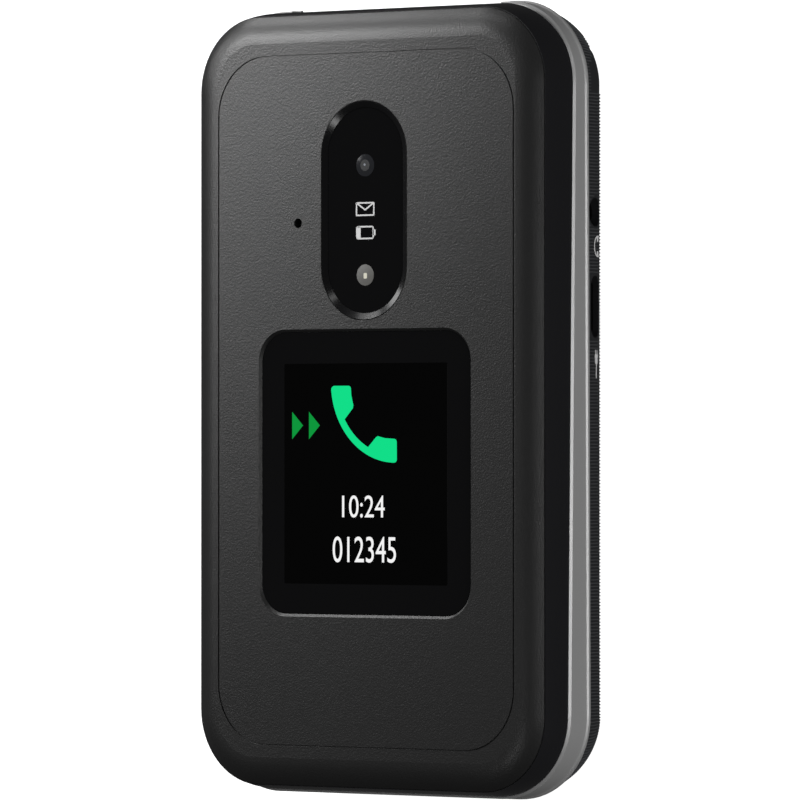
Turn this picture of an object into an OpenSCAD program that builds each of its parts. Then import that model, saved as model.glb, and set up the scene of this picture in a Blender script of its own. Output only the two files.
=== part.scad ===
// Clamshell phone, closed, lying on its back.
// +Z points out of the outer display, +X is the side with the sockets, +Y is the hinge end.

/* [Case] */
// Width over the rear lip of the silver band
case_w = 59; // [56:0.5:62]
// Length over the rear lip of the silver band
case_l = 104.3; // [101:0.5:108]
// Thickness from the flat back to the outer face of the lid
case_t = 19; // [18.8:0.1:20]
// Corner radius of the outline, seen from the front
corner_r = 11.1; // [10.8:0.1:12]
// Height of the parting line between lid and base, half-way along
seam_h = 12.95; // [12.8:0.05:13.1]
// Slope of the parting line, falling towards the hinge (degrees)
seam_tilt = 0.745; // [0.6:0.05:0.9]
// Gap between the lid and the band when closed
seam_gap = 0.12; // [0.1:0.01:0.15]

/* [Base] */
// Height of the joint between band and rear housing, half-way along
band_h = 9.4; // [9.2:0.1:9.6]
// Slope of that joint, rising towards the hinge (degrees)
band_tilt = 0.31; // [0.2:0.05:0.4]
// Step in from the rear lip to the wall of the band
band_step = 0.2; // [0.1:0.05:0.25]
// Height of the rear lip
lip_h = 0.35; // [0.2:0.05:0.5]
// Chamfer along the front edge of the band
band_chamfer = 0.28; // [0.2:0.02:0.35]
// Wall of the band
band_wall = 1.6; // [1.4:0.1:1.8]
// Width of the ledge that carries the keypad deck
ledge_w = 1.2; // [0.8:0.1:1.6]
// Step in from the rear lip to the side of the rear housing
housing_inset = 0.75; // [0.6:0.05:0.9]
// Rounding of the edge between the sides and the back
back_edge_r = 9; // [8.5:0.1:9]
// Wall of the rear housing
housing_wall = 1.3; // [1.1:0.1:1.5]
// Width and depth of the shadow gap under the band
shadow_gap = 0.25; // [0.15:0.05:0.35]
// Distance of the battery cover from the sides
cover_side = 9.5; // [9.5:0.1:10]
// Distance of the battery cover from the front end
cover_front = 8.65; // [8:0.05:10]
// Distance from the headphone socket forward to the battery cover
cover_rear = 1.9; // [1:0.1:3]
// Fitting gap round the battery cover
cover_gap = 0.12; // [0.08:0.02:0.2]

/* [Inside the base] */
// Distance of the battery in from the sides of its cover
battery_side = 2; // [1.5:0.1:3]
// Distance of the battery from the front end
battery_front = 18.15; // [16:0.05:22]
// Gap between the battery and the headphone socket
battery_gap = 1.4; // [1:0.1:2]
// Thickness of the battery
battery_t = 4.1; // [3.6:0.1:4.2]
// Thickness of the chassis plate
chassis_t = 0.7; // [0.5:0.1:0.8]
// Thickness of the main circuit board
board_t = 0.7; // [0.5:0.1:0.8]
// Thickness of the keypad board
keyboard_t = 0.5; // [0.4:0.05:0.6]
// Distance of the board rails from the sides
rail_in = 7; // [6.7:0.1:7.2]
// Width of each board rail
rail_w = 1.8; // [1.6:0.1:2.2]
// Height of the shield can
shield_h = 0.8; // [0.6:0.1:0.8]

/* [Sockets] */
// Radius of the headphone socket
jack_r = 1.8; // [1.75:0.01:1.85]
// Depth of the headphone socket
jack_depth = 12.5; // [12:0.1:13]
// Distance of the headphone socket from the hinge axis
jack_in = 21.65; // [21:0.05:22]
// Height of both sockets above the back
socket_z = 6.6; // [6.5:0.05:6.7]
// Length of the charging socket's mouth
usb_l = 7.9; // [7.6:0.1:8.2]
// Height of the charging socket's mouth
usb_h = 2.5; // [2.4:0.05:2.6]
// Depth of the charging socket
usb_depth = 7; // [6.5:0.1:7.5]
// Distance between the two sockets
socket_pitch = 12.3; // [12:0.1:12.6]

/* [Keypad] */
// Depth of the deck below the parting line
deck_drop = 0.55; // [0.5:0.05:0.6]
// Thickness of the deck
deck_t = 1.1; // [1:0.1:1.2]
// Distance from the parting line down to the key tops
key_drop = 0.2; // [0.15:0.05:0.3]
// Travel of a key
key_travel = 0.4; // [0.3:0.05:0.4]
// Gap round each key
key_gap = 0.25; // [0.2:0.05:0.3]
// Space between number keys, across
key_space_x = 1.4; // [1.2:0.1:2]
// Space between number keys, along
key_space_y = 1.8; // [1.6:0.1:2.4]
// Distance of the outer columns of number keys from the sides
column_in = 12.7; // [12.5:0.1:13]
// Distance of the last row of number keys from the front end
last_row_in = 14.65; // [14.5:0.05:16]
// Distance from the lowest function keys to the first row of number keys
first_row_in = 11.8; // [11.5:0.1:12]
// Corner radius of the keys
key_r = 1.6; // [1:0.1:2]
// Distance of the function keys from the sides
function_side = 4.4; // [4.2:0.1:5]
// Space between the navigation ring and the function keys
nav_space = 2.7; // [2.4:0.1:3]
// Length of a function key
function_l = 7; // [6.4:0.1:7.2]
// Distance of the navigation ring from the hinge axis
nav_in = 32.75; // [32:0.05:33]
// Distance between function keys, along
function_pitch = 9; // [8.8:0.1:9.2]
// Radius of the navigation ring
nav_r = 11.4; // [11:0.1:11.6]
// Radius of the OK key
ok_r = 5.2; // [4.8:0.1:5.4]
// Thickness of the silicone key mat
mat_t = 0.5; // [0.4:0.05:0.6]

/* [Lid] */
// Step in from the rear lip to the lid's side at the parting line
lid_inset = 0.45; // [0.4:0.05:0.5]
// Further step in at the upper edge of the lid's side
side_taper = 0.7; // [0.6:0.05:0.8]
// Height of the upper edge of the lid's side
side_top = 17.6; // [17.4:0.05:17.6]
// Gap between the lid's side frame and its cover
cover_seam = 0.1; // [0.08:0.01:0.12]
// Thickness of the lid's cover at its flat middle
lid_cover_t = 2; // [1.9:0.05:2.1]
// Width of the crowned ring round the cover
crown_w = 3.65; // [3.4:0.05:3.8]
// Drop of the crowned ring
crown_drop = 1.3; // [1.2:0.02:1.3]
// Wall of the lid's side frame
frame_wall = 2.1; // [2:0.05:2.3]
// Thickness of the lid's inner cover
inner_t = 1.2; // [1.1:0.05:1.3]
// Distance of the fine groove from the sides
groove_side = 5.15; // [5.1:0.05:5.5]
// Distance of the fine groove from the ends
groove_end = 6.5; // [6:0.05:7]
// Corner radius of the groove
groove_r = 8; // [7:0.1:9]
// Width of the groove
groove_cut = 0.2; // [0.15:0.01:0.25]

/* [Camera window] */
// Width of the camera bezel
pill_w = 14.1; // [13.6:0.1:14.4]
// Length of the camera bezel
pill_l = 28.8; // [28:0.1:29.2]
// Distance of the camera bezel's middle from the hinge axis
pill_in = 21.15; // [21:0.05:21.5]
// Width of the sloping rim of the bezel
pill_slope = 0.9; // [0.7:0.05:1]
// Depth of both windows below the cover
window_depth = 0.33; // [0.25:0.01:0.4]
// Thickness of both windows
window_t = 0.8; // [0.7:0.05:0.8]
// Radius of the camera lens
lens_r = 1.47; // [1.3:0.01:1.6]
// Distance of the camera lens from the bezel's end
lens_in = 8.5; // [8.3:0.1:8.9]
// Radius of the flash lens
flash_r = 1.4; // [1.2:0.01:1.5]
// Distance of the flash lens from the bezel's other end
flash_in = 5.9; // [5.6:0.1:6.2]
// Radius of the microphone hole
mic_r = 0.65; // [0.5:0.01:0.7]
// Distance of the microphone hole from the side of the bezel
mic_side = 3.85; // [3.5:0.05:4]
// Distance of the microphone hole below the bezel's middle
mic_off = 1.5; // [1:0.1:2]

/* [Displays] */
// Width of the outer display window
outer_w = 34.3; // [33.8:0.1:34.6]
// Length of the outer display window
outer_l = 37.2; // [36.8:0.1:37.6]
// Corner radius of the outer display window
outer_r = 4; // [3.5:0.1:4.5]
// Gap between the camera bezel and the outer display window
outer_gap = 1.47; // [1.4:0.01:1.6]
// Chamfer round the outer display window
outer_chamfer = 0.4; // [0.3:0.02:0.45]
// Distance of the main display window from the sides
main_side = 6; // [5.8:0.1:6.5]
// Distance of the main display window from the front end
main_front = 12.65; // [12.5:0.05:13]
// Distance of the main display window from the hinge axis
main_rear = 21.55; // [21.4:0.05:22]
// Thickness of the main display
main_t = 1.3; // [1.2:0.05:1.35]

/* [Hinge] */
// Distance of the hinge axis from the end of the phone
hinge_inset = 6.1; // [6:0.05:6.2]
// Height of the hinge axis above the back
hinge_h = 9.2; // [9.1:0.05:9.3]
// Radius of the barrel on the lid
barrel_r = 5.6; // [5.5:0.05:5.6]
// Distance from the start of the rounded corner in to the end of the barrel
barrel_in = 1.4; // [1.2:0.1:1.8]
// Radius of the knuckles on the base
knuckle_r = 4.6; // [4.5:0.05:4.7]
// Length of each knuckle
knuckle_l = 5; // [4.6:0.1:5.2]
// Gap between barrel and knuckles, along the axis
knuckle_gap = 0.3; // [0.25:0.05:0.35]
// Gap round everything that turns past the base
sweep_gap = 0.3; // [0.25:0.01:0.35]
// Radius of the hinge cartridge
cartridge_r = 4.1; // [4:0.05:4.1]
// Radius of the cam shaft
shaft_r = 2; // [1.8:0.05:2.1]
// Running clearance of shaft and bush
run_gap = 0.05; // [0.03:0.01:0.08]
// Outer radius of the hinge bush
bush_r = 3.2; // [3.1:0.05:3.3]
// Wall of the hinge bush
bush_wall = 0.9; // [0.7:0.05:1]

/* [Hidden] */

$fn = 48;
corner_fn = 96;
over = 1;
touch = 0.05;
// half of what is left straight on a rounded end, so that its arcs do not meet in a point
end_flat = 0.01;
press_gap = 0.02;
key_edge = 0.3;
inner_step = 0.1;
frame_lip = 1.2;
bezel_seat = 0.27;
bezel_ledge = 0.6;
bezel_land = 0.1;
window_ledge = 1;
outer_margin = 2;

// colours
black_gloss = "#17181a";
black_matt = "#232426";
dark_metal = "#4a4c4e";
silver = "#b4b6b8";
steel = "#8b8e92";
board_green = "#1f5a3c";
glass_black = "#050506";

// places that others follow
half_w = case_w / 2;
front_y = -case_l / 2;
hinge_y = case_l / 2 - hinge_inset;
corner_x = case_w / 2 - corner_r;
corner_y = case_l / 2 - corner_r;
barrel_half = corner_x - barrel_in;
rail_x = half_w - rail_in;
jack_y = hinge_y - jack_in;
usb_y = jack_y - socket_pitch;
pill_y = hinge_y - pill_in;

// derived heights
battery_z = housing_wall;
chassis_z = 6.2;
board_z = chassis_z + chassis_t;
deck_under = deck_drop + deck_t;
flange_t = 0.4;
flange_w = 0.5;
flange_gap = 0.1;
flange_low = deck_under + flange_gap + flange_t;
mat_top = flange_low + key_travel + touch;
dome_t = 0.3;
keyboard_top = mat_top + mat_t + dome_t;
keyboard_low = keyboard_top + keyboard_t;
lid_under = case_t - lid_cover_t;
inner_low = seam_gap + inner_step;
inner_top = inner_low + inner_t;
window_top = case_t - window_depth;
window_low = window_top - window_t;

// clearances and small parts
heel_slack = 0.6;
board_gap = 0.1;
screw_slack = 0.1;
head_slack = 0.15;
sheet = 0.2;
board_r = 2;
part_r = 1;
small_r = 0.4;
cover_plate_r = 5;
ledge_t = 0.9;
cover_inset = lid_inset + side_taper + cover_seam;
inner_inset = lid_inset + frame_lip;
groove_deep = 0.15;
bezel_low = window_low - bezel_seat;
saddle_l = 8;

// rails and boards
rail_low = 2.2;
rail_step = 1.5;
rail_front_in = 8.3;
rail_front = front_y + rail_front_in;
rail_past_jack = 2.25;
rail_rear = jack_y + rail_past_jack;
rail_l = rail_rear - rail_front;
rail_mid_y = (rail_front + rail_rear) / 2;
board_front_in = 9.15;
board_front = front_y + board_front_in;
board_rear_in = 8.05;
board_rear = hinge_y - board_rear_in;
shield_w = 32;
shield_l = 28;
shield_in = 34.15;
shield_y = front_y + shield_in;
sim_x = 7;
sim_in = 8;
sim_y = shield_y - sim_in;
sim_t = 0.7;
sim_w = 17;
sim_l = 15;
sim_rim = 1;

// screws
screw_r = 0.8;
head_r = 1.5;
head_h = 0.7;
head_floor = 3.2;
boss_r = 2.1;
boss_slack = 0.5;
boss_step = 0.2;
drive_r = 0.7;
drive_deep = 0.4;
screw_end = 0.3;
screw_join = 6;
screw_top = 10.2;
front_screw_side = 10;
front_screw_x = half_w - front_screw_side;
front_screw_in = 6.15;
front_screw_y = front_y + front_screw_in;
rear_screw_side = 9.5;
rear_screw_x = half_w - rear_screw_side;
rear_screw_in = 13.05;
rear_screw_y = hinge_y - rear_screw_in;
base_screw_spots = [
    [-front_screw_x, front_screw_y], [front_screw_x, front_screw_y],
    [-rear_screw_x, rear_screw_y], [rear_screw_x, rear_screw_y]
];
lid_screw_r = 0.7;
lid_head_r = 1.3;
lid_head_h = 0.4;
lid_screw_l = 2.4;
bumper_in = 0.3;
lid_screw_hole = inner_low + bumper_in + lid_screw_l + screw_end;
lid_front_side = 5.5;
lid_front_x = half_w - lid_front_side;
lid_front_in = 6.65;
lid_front_y = front_y + lid_front_in;
lid_rear_side = 4.3;
lid_rear_x = half_w - lid_rear_side;
lid_rear_in = 15.05;
lid_rear_y = hinge_y - lid_rear_in;
lid_screw_spots = [
    [-lid_front_x, lid_front_y], [lid_front_x, lid_front_y],
    [-lid_rear_x, lid_rear_y], [lid_rear_x, lid_rear_y]
];

// sockets and rocker; side_x is where the side of the housing lies at their height, and each
// socket ends in a pocket behind the mouth in the rounded side, which leaves a skin of face_skin
// at its lowest point
function side_at(z) = case_w / 2 - housing_inset - back_edge_r
    + sqrt(pow(back_edge_r, 2) - pow(back_edge_r - z, 2));
side_x = side_at(socket_z);
face_skin = 0.8;
mouth_gap = 0.1;
jack_wall = 0.65;
jack_face_x = side_at(socket_z - jack_r - jack_wall) - face_skin;
jack_back = 1;
jack_body = 6;
battery_rear = jack_y - jack_body / 2 - battery_gap;
battery_l = battery_rear - front_y - battery_front;
battery_y = battery_rear - battery_l / 2;
cover_plate_w = case_w - 2 * cover_side;
cover_plate_l = jack_y - cover_rear - front_y - cover_front;
cover_plate_y = jack_y - cover_rear - cover_plate_l / 2;
battery_w = cover_plate_w - 2 * battery_side;
jack_nose_x = rail_x + rail_w + 2 * touch;
jack_block = 10.8;
usb_wall = 0.4;
usb_face_x = side_at(socket_z - usb_h / 2 - usb_wall) - face_skin;
usb_tongue = 6.2;
tongue_t = 0.7;
tongue_back = 1.2;
rocker_pitch = 6.4;
rocker_y = jack_y - rocker_pitch;
rocker_l = 13.7;
rocker_h = 2.7;
rocker_proud = 0.5;
rock_r = 0.5;
rock_flange_w = 0.6;
rock_flange_t = 0.7;
flange_x = -rail_x - rail_w - rock_r - 2 * touch;

// loudspeaker, microphone, motor
speaker_gap = 1.9;
speaker_w = rear_screw_x - boss_r - speaker_gap;
speaker_x = -speaker_w / 2;
speaker_in = 16.05;
speaker_y = hinge_y - speaker_in;
speaker_l = 12;
speaker_h = 3.6;
speaker_rim = 2;
speaker_pole = 0.5;
slot_w = 1;
slot_l = 8;
slot_pitch = 2.3;
mic_hole_in = 5.65;
mic_hole_y = front_y + mic_hole_in;
base_mic_r = 0.5;
base_mic_w = 4;
base_mic_l = 3;
base_mic_t = 1.1;
motor_side = 16;
motor_x = rear_screw_x - motor_side;
motor_in = 14.55;
motor_y = hinge_y - motor_in;
motor_r = 2;
motor_l = 8;
motor_pin_r = 0.4;
motor_weight_l = 2;
motor_weight_gap = 0.6;
motor_weight_step = 0.2;
notch_r = 6;
notch_l = 12;
notch_in = 2.2;
notch_deep = 0.6;

// keys
nav_y = hinge_y - nav_in;
function_y = nav_y - function_pitch;
function_w = half_w - function_side - nav_r - nav_space;
function_x = nav_r + nav_space + function_w / 2;
first_row_y = function_y - first_row_in;
key_pitch_x = half_w - column_in;
key_pitch_y = (first_row_y - front_y - last_row_in) / 3;
key_w = key_pitch_x - key_space_x;
key_l = key_pitch_y - key_space_y;
number_spots = [for (row = [0:3], column = [-1:1])
    [column * key_pitch_x, first_row_y - row * key_pitch_y]];
function_spots = [for (row = [2:-1:0], side = [-1, 1])
    [side * function_x, function_y + row * function_pitch]];
nav_dome_spots = [for (turn = [0:90:270])
    [(nav_r + ok_r) / 2 * cos(turn), nav_y + (nav_r + ok_r) / 2 * sin(turn)]];
dome_r = 2;

// hinge hardware
knuckle_cap = 0.8;
shaft_key = 5;
shaft_in = 4.8;
cartridge_l = 15;
bush_l = 5;
bush_in = barrel_half - bush_l;
cartridge_flat = 0.6;

// lid parts
camera_w = 8;
camera_r = 2.7;
lens_dome = 0.06;
flash_w = 2.4;
lid_mic_w = 2.4;
lid_board_z = 16.25;
lid_board_t = 0.5;
lens_y = pill_y + pill_l / 2 - lens_in;
flash_y = pill_y - pill_l / 2 + flash_in;
mic_x = -pill_w / 2 - mic_side;
mic_y = pill_y - mic_off;
outer_y = pill_y - pill_l / 2 - outer_gap - outer_l / 2;
main_w = case_w - 2 * main_side;
main_l = hinge_y - main_rear - front_y - main_front;
main_y = hinge_y - main_rear - main_l / 2;
groove_w = case_w - 2 * groove_side;
groove_l = case_l - 2 * groove_end;
lid_board_sides = 15;
lid_board_w = case_w - lid_board_sides;
lid_board_gap = 2.3;
lid_board_rear = lens_y - camera_w / 2 - lid_board_gap;
earpiece_in = 7.95;
earpiece_y = front_y + earpiece_in;
earpiece_w = 15;
earpiece_l = 6;
lid_board_front = earpiece_y + earpiece_l / 2 + boss_slack;
earpiece_h = 1.8;
slot_ear_l = 10;
slot_ear_w = 1.6;
magnet_side = 7.5;
magnet_x = lid_front_x - magnet_side;
magnet_w = 7;
magnet_l = 3;
magnet_t = 1.5;

// hinge
knuckle_start = barrel_half + knuckle_gap;
knuckle_end = knuckle_start + knuckle_l;
wall_r = corner_r - band_step;
seam_rise = seam_h - hinge_y * sin(seam_tilt) - hinge_h;

// how far the band's end lies beyond the hinge axis, at a distance x from the middle
function end_reach(x) = corner_y - hinge_y
    + sqrt(max(0, pow(wall_r, 2) - pow(max(0, abs(x) - corner_x), 2)));
// the place across the phone where the end wall passes the hinge axis
reach_x = corner_x + sqrt(pow(wall_r, 2) - pow(hinge_y - corner_y, 2));
// radius about the hinge axis of the band's upper edge
function edge_radius(x) = sqrt(pow(max(0, end_reach(x)), 2) + pow(seam_rise, 2));
// the clearance shrinks to almost nothing where the seam must look closed from outside
function gap_at(x) = touch + (sweep_gap - touch) * max(0, end_reach(x)) / end_reach(0);

// ---------- shared shapes ----------

module rounded_2d(w, l, r) {
    square([w - 2 * r, l], center = true);
    square([w, l - 2 * r], center = true);
    for (sx = [-1, 1], sy = [-1, 1])
        translate([sx * (w / 2 - r), sy * (l / 2 - r)])
            circle(r, $fn = corner_fn);
}

module plate(w, l, r, low, high) {
    translate([0, 0, low])
        linear_extrude(high - low)
            rounded_2d(w, l, r);
}

// a prism of the phone's outline, stepped in from the rear lip
module outline(inset, low, high) {
    plate(case_w - 2 * inset, case_l - 2 * inset, corner_r - inset, low, high);
}

// sweeps an edge profile round a rounded rectangle; the profile runs from x = 0 at the
// corner's centre to x = r at the side, and fills low to high at x = 0
module rim_solid(w, l, r, low, high) {
    for (sx = [-1, 1], sy = [-1, 1])
        translate([sx * (w / 2 - r), sy * (l / 2 - r), 0])
            rotate_extrude($fn = corner_fn)
                children();
    for (turn = [0, 180])
        rotate([0, 0, turn])
            translate([w / 2 - r, 0, 0])
                rotate([90, 0, 0])
                    linear_extrude(l - 2 * r, center = true)
                        children();
    for (turn = [90, 270])
        rotate([0, 0, turn])
            translate([l / 2 - r, 0, 0])
                rotate([90, 0, 0])
                    linear_extrude(w - 2 * r, center = true)
                        children();
    translate([-(w / 2 - r), -(l / 2 - r), low])
        cube([w - 2 * r, l - 2 * r, high - low]);
}

// a plate whose upper edge flares outwards, to cut a chamfered window
module flared_plate(w, l, r, low, high, flare) {
    rim_solid(w, l, r, low, high)
        polygon([[0, low], [r, low], [r, high - flare], [r + flare, high], [0, high]]);
}

// places its children on the sloping parting plane, where z = 0 is the seam
module on_seam() {
    translate([0, 0, seam_h])
        rotate([-seam_tilt, 0, 0])
            children();
}

// places its children on the joint between band and rear housing
module on_band() {
    translate([0, 0, band_h])
        rotate([band_tilt, 0, 0])
            children();
}

module slab(low, high) {
    translate([-case_w, -case_l, low])
        cube([2 * case_w, 2 * case_l, high - low]);
}

// places its children with their z axis along the hinge axis
module on_hinge() {
    translate([0, hinge_y, hinge_h])
        rotate([0, 90, 0])
            children();
}

// the profile of the base's end about the hinge axis, as a drum; grow makes it larger,
// and opened adds the clearance that the lid needs
module hinge_drum(grow = 0, opened = false) {
    steps = 16;
    places = [for (i = [0:steps]) corner_x + (reach_x - corner_x) * i / steps];
    right = [for (x = places) [edge_radius(x) + grow + (opened ? gap_at(x) : 0), x]];
    left = [for (i = [steps:-1:0]) [right[i][0], -right[i][1]]];
    on_hinge()
        rotate_extrude($fn = corner_fn)
            polygon(concat([[0, -reach_x]], left, right, [[0, reach_x]]));
}

// the pocket in the back of the base that takes the lid's heel when the lid is open
module heel_pocket(grow = 0) {
    difference() {
        translate([0, 2 * hinge_y, 0])
            outline(lid_inset + heel_slack - grow, -over, hinge_h);
        hinge_drum(-grow);
    }
}

// everything that the lid's barrel and neck sweep through in the middle of the base
module barrel_sweep(grow = 0) {
    half = barrel_half + knuckle_gap - touch + grow;
    r = barrel_r + sweep_gap + grow;
    back_reach = case_l / 2 - lid_inset - heel_slack - hinge_y + grow;
    on_hinge()
        cylinder(r = r, h = 2 * half, center = true, $fn = corner_fn);
    translate([-half, hinge_y - r, hinge_h])
        cube([2 * half, 4 * r, case_t]);
    translate([-half, hinge_y - back_reach, -over])
        cube([2 * half, 4 * r, hinge_h + over]);
}

// the trough in the lid that clears the base's end, on both sides of the barrel
module lid_trough() {
    difference() {
        hinge_drum(0, true);
        translate([-barrel_half, 0, 0])
            cube([2 * barrel_half, case_l, case_t]);
    }
}

// the round knuckle of one side, with side -1 or 1
module knuckle_round(side, r, from, to) {
    on_hinge()
        translate([0, 0, side > 0 ? from : -to])
            cylinder(r = r, h = to - from, $fn = corner_fn);
}

// ---------- base shells ----------

// a side wall with a quarter-round edge down to the flat back
module housing_profile(r, edge, top) {
    square([r - edge, top]);
    translate([0, edge])
        square([r, top - edge]);
    translate([r - edge, edge])
        intersection() {
            circle(edge, $fn = corner_fn);
            translate([0, -edge])
                square(edge);
        }
}

module housing_solid(step) {
    inset = housing_inset + step;
    top = band_h + over - step;
    translate([0, 0, step])
        rim_solid(case_w - 2 * inset, case_l - 2 * inset, corner_r - inset, 0, top)
            housing_profile(corner_r - inset, back_edge_r - step, top);
}

module housing_shell() {
    difference() {
        union() {
            intersection() {
                housing_solid(0);
                on_band()
                    slab(-case_t, -shadow_gap);
            }
            intersection() {
                housing_solid(shadow_gap);
                on_band()
                    slab(-case_t, 0);
            }
        }
        difference() {
            housing_solid(housing_wall);
            heel_pocket(housing_wall);
            barrel_sweep(housing_wall);
        }
        heel_pocket();
        barrel_sweep();
        for (side = [-1, 1])
            knuckle_round(side, knuckle_r + touch, 0, knuckle_end + touch);
    }
}

module cover_prism(gap, low, high) {
    translate([0, cover_plate_y, 0])
        plate(cover_plate_w + 2 * gap, cover_plate_l + 2 * gap, cover_plate_r, low, high);
}

// the rails that carry the chassis and the keypad board, one on each side
module board_rails() {
    for (side = [-1, 1])
        intersection() {
            union() {
                translate([side * (rail_x + rail_w / 2), rail_mid_y, 0])
                    plate(rail_w, rail_l, rail_w / 4, rail_low, case_t);
                translate([side * (rail_x + (rail_w - rail_step) / 2), rail_mid_y, 0])
                    plate(rail_w + rail_step, rail_l, rail_w / 4, rail_low, chassis_z);
            }
            on_seam()
                slab(-case_t, -keyboard_low);
        }
}

// the spaces taken by the two sockets in the boards, the chassis and the right rail
module socket_space() {
    translate([side_x - jack_depth - jack_back, jack_y - jack_body / 2, chassis_z - jack_body])
        cube([case_w, jack_body, case_t]);
    translate([side_x - usb_depth - usb_wall, usb_y - usb_l / 2 - usb_wall, chassis_z - jack_body])
        cube([case_w, usb_l + 2 * usb_wall, case_t]);
}

// one of the stadium-shaped forms of the sockets and the rocker, lying along x
module side_stadium(l, h, from, to) {
    translate([from, 0, socket_z])
        rotate([90, 0, 90])
            linear_extrude(to - from)
                rounded_2d(l, h, h / 2 - end_flat);
}

module rear_housing() {
    color(black_matt)
        difference() {
            union() {
                difference() {
                    housing_shell();
                    cover_prism(cover_gap, -over, rail_low);
                }
                difference() {
                    board_rails();
                    socket_space();
                }
                intersection() {
                    housing_solid(shadow_gap);
                    for (p = base_screw_spots)
                        translate([p[0], p[1], 0])
                            cylinder(r = boss_r, h = screw_join);
                }
            }
            for (p = base_screw_spots)
                translate([p[0], p[1], -over]) {
                    cylinder(r = screw_r + screw_slack, h = case_t);
                    cylinder(r = head_r + head_slack, h = over + head_floor);
                }
            // loudspeaker slots
            for (i = [-2:2])
                translate([speaker_x + i * slot_pitch, speaker_y, 0])
                    plate(slot_w, slot_l, slot_w / 2 - end_flat, -over, rail_low);
            // sockets and rocker
            translate([0, jack_y, socket_z])
                rotate([0, 90, 0]) {
                    cylinder(r = jack_r + jack_wall + touch, h = jack_face_x + touch);
                    cylinder(r = jack_r + mouth_gap, h = case_w);
                }
            translate([0, usb_y, 0]) {
                side_stadium(usb_l + 2 * usb_wall + 2 * touch, usb_h + 2 * usb_wall + 2 * touch,
                    side_x - usb_depth, usb_face_x + touch);
                side_stadium(usb_l + 2 * mouth_gap, usb_h + 2 * mouth_gap, side_x - usb_depth,
                    case_w);
            }
            translate([0, rocker_y, 0])
                side_stadium(rocker_l + 2 * key_gap, rocker_h + 2 * key_gap, -case_w,
                    -rail_x - rail_w - over);
        }
}

module battery_cover() {
    color(black_matt)
        difference() {
            intersection() {
                housing_shell();
                cover_prism(0, -over, rail_low);
            }
            // thumb notch
            translate([0, cover_plate_y - cover_plate_l / 2 + notch_in, -notch_r + notch_deep])
                rotate([0, 90, 0])
                    cylinder(r = notch_r, h = notch_l, center = true);
        }
}

module battery() {
    color(dark_metal)
        translate([0, battery_y, 0])
            plate(battery_w, battery_l, board_r, battery_z, battery_z + battery_t);
}

// the outline shared by the chassis plate and the main board
module board_blank(low, high) {
    difference() {
        translate([0, (board_front + board_rear) / 2, 0])
            plate(2 * (rail_x - board_gap), board_rear - board_front, board_r, low, high);
        socket_space();
        for (p = base_screw_spots)
            translate([p[0], p[1], low - over])
                cylinder(r = boss_r + boss_slack, h = case_t);
    }
}

module chassis_plate() {
    color(steel)
        board_blank(chassis_z, chassis_z + chassis_t);
}

module main_board() {
    color(board_green)
        board_blank(board_z, board_z + board_t);
}

module shield_can() {
    top = board_z + board_t + shield_h;
    color(steel)
        translate([0, shield_y, 0])
            difference() {
                plate(shield_w, shield_l, part_r, board_z + board_t, top);
                plate(shield_w - 2 * sheet, shield_l - 2 * sheet, part_r - sheet, board_z,
                    top - sheet);
            }
}

module sim_holder() {
    color(steel)
        translate([sim_x, sim_y, 0])
            difference() {
                plate(sim_w, sim_l, part_r, chassis_z - sim_t, chassis_z);
                plate(sim_w - 2 * sim_rim, sim_l - 2 * sim_rim, part_r - sheet,
                    chassis_z - sim_t - over, chassis_z - sheet);
            }
}

module keypad_board() {
    color(board_green)
        on_seam()
            translate([0, rail_mid_y, 0])
                plate(2 * (rail_x + rail_w), rail_l, board_r, -keyboard_low, -keyboard_top);
}

module key_domes() {
    color(steel)
        on_seam()
            for (p = concat(number_spots, function_spots, [[0, nav_y]], nav_dome_spots))
                translate([p[0], p[1], -keyboard_top])
                    cylinder(r = dome_r, h = dome_t);
}

module key_mat() {
    color("#3a3b3e")
        on_seam()
            translate([0, rail_mid_y, 0])
                plate(2 * (rail_x + rail_w), rail_l, board_r, -mat_top - mat_t, -mat_top);
}

module keypad_deck() {
    color(black_matt)
        difference() {
            union() {
                difference() {
                    on_seam()
                        outline(band_step + band_wall + touch, -deck_under, -deck_drop);
                    barrel_sweep();
                }
                for (side = [-1, 1])
                    knuckle_round(side, knuckle_r, knuckle_start, knuckle_end);
                for (p = base_screw_spots)
                    intersection() {
                        translate([p[0], p[1], screw_join])
                            cylinder(r = boss_r - boss_step, h = case_t);
                        on_seam()
                            slab(-case_t, -deck_under + touch);
                    }
            }
            on_seam() {
                for (p = number_spots)
                    translate([p[0], p[1], 0])
                        key_hole(key_w, key_l);
                for (p = function_spots)
                    translate([p[0], p[1], 0])
                        key_hole(function_w, function_l);
                translate([0, nav_y, -deck_under - over])
                    cylinder(r = nav_r + key_gap, h = case_t, $fn = corner_fn);
                translate([0, mic_hole_y, -deck_under - over])
                    cylinder(r = base_mic_r, h = case_t);
            }
            for (p = base_screw_spots)
                translate([p[0], p[1], 0])
                    cylinder(r = screw_r + press_gap, h = screw_top);
            // square socket for the cam shaft, round seat for the bush
            on_hinge() {
                translate([0, 0, -knuckle_end + knuckle_cap])
                    translate([-shaft_key / 2 - touch, -shaft_key / 2 - touch, 0])
                        cube([shaft_key + 2 * touch, shaft_key + 2 * touch, knuckle_l]);
                translate([0, 0, knuckle_start - over])
                    cylinder(r = bush_r + press_gap, h = knuckle_l + over - knuckle_cap);
            }
        }
}

module key_hole(w, l) {
    plate(w + 2 * key_gap, l + 2 * key_gap, key_r + key_gap, -deck_under - over, over);
}

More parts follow.
